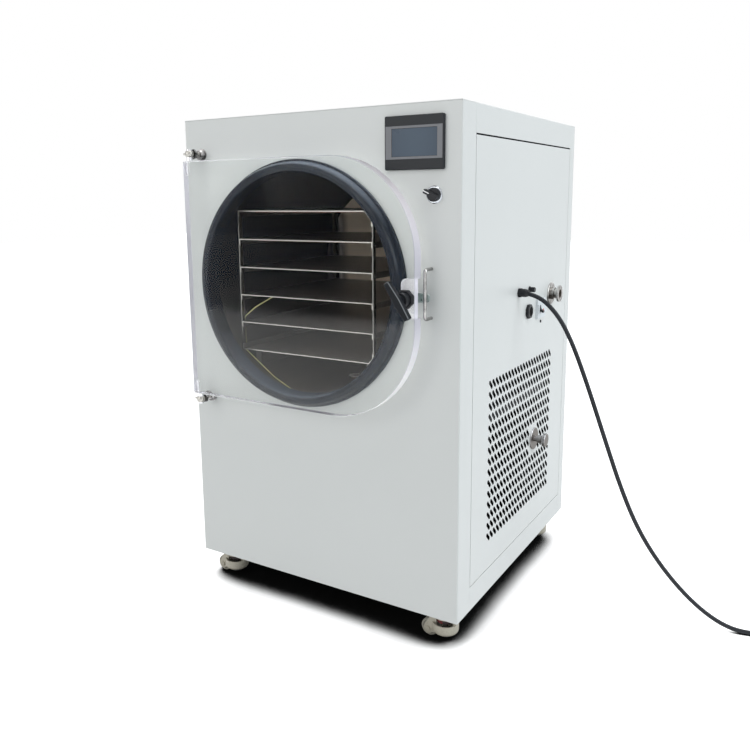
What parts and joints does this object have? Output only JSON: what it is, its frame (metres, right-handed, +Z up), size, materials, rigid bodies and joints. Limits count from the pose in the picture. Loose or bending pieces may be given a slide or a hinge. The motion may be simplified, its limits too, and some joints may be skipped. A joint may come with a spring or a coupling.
{
  "type": "laboratory freeze dryer",
  "caption": "Floor-standing cabinet freeze dryer with a round vacuum chamber, heated shelf rack, clear hinged door with a turn latch, side ports, levelling casters and a mains lead.",
  "frame": {"origin": "on the floor under the middle of everything but the mains lead, coil and plug", "axes": "+X to the right as seen from the door side, +Y to the back, +Z up"},
  "size_m": [1.4593, 0.737, 1.045],
  "materials": {
    "cabinet_paint": "light grey-green fine powder coat",
    "frame_steel": "dark painted steel",
    "chamber_steel": "bright stainless steel",
    "jacket_copper": "copper sheet",
    "foam": "rigid foam",
    "gasket_rubber": "black rubber",
    "heater_mat": "silicone mat",
    "harness": "sleeved wires",
    "probe_wire": "yellow-green wire",
    "acrylic": "clear acrylic",
    "black_plastic": "black moulding",
    "screen": "unlit display",
    "bright_steel": "polished stainless steel",
    "chrome_ring": "chromed",
    "pipe": "drawn tube",
    "breaker_white": "white moulding",
    "compressor_black": "black enamel",
    "fins": "finned aluminium",
    "plate_zinc": "zinc plated",
    "caster_cast": "cream cast body",
    "wheel_nylon": "black nylon",
    "foot": "red hand dial, black pad",
    "lead": "black sheathed lead"
  },
  "bodies": {
    "cabinet": {"front_panel": "cabinet_paint", "top_panel": "cabinet_paint", "base_pan": "cabinet_paint", "rear_panel": "cabinet_paint", "left_panel": "cabinet_paint", "right_panel": "cabinet_paint", "inner_frame": "frame_steel", "chamber_drum": "chamber_steel", "cooling_jacket": "jacket_copper", "drum_insulation": "foam", "door_gasket": "gasket_rubber", "rack_uprights": "chamber_steel", "top_shelf": "chamber_steel", "middle_shelves": "chamber_steel", "bottom_shelf": "chamber_steel", "shelf_heaters": "heater_mat", "heater_harness": "harness", "probe_lead": "probe_wire", "touch_panel": "black_plastic", "touch_screen": "screen", "selector_bezel": "chrome_ring", "striker_bar": "bright_steel", "hinge_eyes": "bright_steel", "hinge_nuts": "bright_steel", "hinge_pins": "bright_steel", "vacuum_port": "bright_steel", "drain_port": "bright_steel", "vacuum_pipe": "pipe", "drain_pipe": "pipe", "cable_gland": "black_plastic", "fuse_holder": "black_plastic", "pump_outlet": "black_plastic", "breaker_body": "breaker_white", "compressor": "compressor_black", "condenser": "fins", "fan_shroud": "frame_steel", "control_box": "compressor_black", "caster_plates": "plate_zinc", "cord_tube": "lead", "cord_coil": "lead", "mains_plug": "lead"},
    "door": {"door_panel": "acrylic", "latch_collar": "black_plastic"},
    "latch": {"latch_handle": "black_plastic", "latch_cam": "bright_steel"},
    "selector": {"selector_knob": "black_plastic"},
    "breaker": {"breaker_lever": "black_plastic"},
    "fan": {"fan_rotor": "frame_steel"},
    "caster_front_left": {"caster_body_front_left": "caster_cast"},
    "wheel_front_left": {"caster_wheel_front_left": "wheel_nylon"},
    "foot_front_left": {"levelling_foot_front_left": "foot"},
    "caster_front_right": {"caster_body_front_right": "caster_cast"},
    "wheel_front_right": {"caster_wheel_front_right": "wheel_nylon"},
    "foot_front_right": {"levelling_foot_front_right": "foot"},
    "caster_rear_left": {"caster_body_rear_left": "caster_cast"},
    "wheel_rear_left": {"caster_wheel_rear_left": "wheel_nylon"},
    "foot_rear_left": {"levelling_foot_rear_left": "foot"},
    "caster_rear_right": {"caster_body_rear_right": "caster_cast"},
    "wheel_rear_right": {"caster_wheel_rear_right": "wheel_nylon"},
    "foot_rear_right": {"levelling_foot_rear_right": "foot"}
  },
  "joints": [
    {"name": "door_hinge", "type": "hinge", "parent": "cabinet", "child": "door", "pos_m": [-0.2945, -0.319, 0.708], "axis": [0, 0, -1], "range_deg": [0, 120]},
    {"name": "latch_turn", "type": "hinge", "parent": "door", "child": "latch", "pos_m": [0.225, -0.3315, 0.701], "axis": [0, -1, 0], "range_deg": [0, 90]},
    {"name": "selector_turn", "type": "hinge", "parent": "cabinet", "child": "selector", "pos_m": [0.2555, -0.2875, 0.884], "axis": [0, 1, 0], "range_deg": [0, 90]},
    {"name": "breaker_toggle", "type": "hinge", "parent": "cabinet", "child": "breaker", "pos_m": [0.3135, 0.13, 0.6305], "axis": [0, -1, 0], "range_deg": [0, 56]},
    {"name": "fan_spin", "type": "hinge", "parent": "cabinet", "child": "fan", "pos_m": [-0.0155, 0.2897, 0.25], "axis": [0, 1, 0], "continuous": true},
    {"name": "caster_swivel_front_left", "type": "hinge", "parent": "cabinet", "child": "caster_front_left", "pos_m": [-0.2905, -0.2275, 0.06], "axis": [0, 0, 1], "continuous": true},
    {"name": "wheel_roll_front_left", "type": "hinge", "parent": "caster_front_left", "child": "wheel_front_left", "pos_m": [-0.3225, -0.2275, 0.018], "axis": [0, 1, 0], "continuous": true},
    {"name": "foot_screw_front_left", "type": "slide", "parent": "caster_front_left", "child": "foot_front_left", "axis": [0, 0, -1], "range_m": [0, 0.007]},
    {"name": "caster_swivel_front_right", "type": "hinge", "parent": "cabinet", "child": "caster_front_right", "pos_m": [0.2595, -0.2275, 0.06], "axis": [0, 0, 1], "continuous": true},
    {"name": "wheel_roll_front_right", "type": "hinge", "parent": "caster_front_right", "child": "wheel_front_right", "pos_m": [0.2275, -0.2275, 0.018], "axis": [0, 1, 0], "continuous": true},
    {"name": "foot_screw_front_right", "type": "slide", "parent": "caster_front_right", "child": "foot_front_right", "axis": [0, 0, -1], "range_m": [0, 0.007]},
    {"name": "caster_swivel_rear_left", "type": "hinge", "parent": "cabinet", "child": "caster_rear_left", "pos_m": [-0.2905, 0.3145, 0.06], "axis": [0, 0, 1], "continuous": true},
    {"name": "wheel_roll_rear_left", "type": "hinge", "parent": "caster_rear_left", "child": "wheel_rear_left", "pos_m": [-0.3225, 0.3145, 0.018], "axis": [0, 1, 0], "continuous": true},
    {"name": "foot_screw_rear_left", "type": "slide", "parent": "caster_rear_left", "child": "foot_rear_left", "axis": [0, 0, -1], "range_m": [0, 0.007]},
    {"name": "caster_swivel_rear_right", "type": "hinge", "parent": "cabinet", "child": "caster_rear_right", "pos_m": [0.2595, 0.3145, 0.06], "axis": [0, 0, 1], "continuous": true},
    {"name": "wheel_roll_rear_right", "type": "hinge", "parent": "caster_rear_right", "child": "wheel_rear_right", "pos_m": [0.2275, 0.3145, 0.018], "axis": [0, 1, 0], "continuous": true},
    {"name": "foot_screw_rear_right", "type": "slide", "parent": "caster_rear_right", "child": "foot_rear_right", "axis": [0, 0, -1], "range_m": [0, 0.007]}
  ]
}
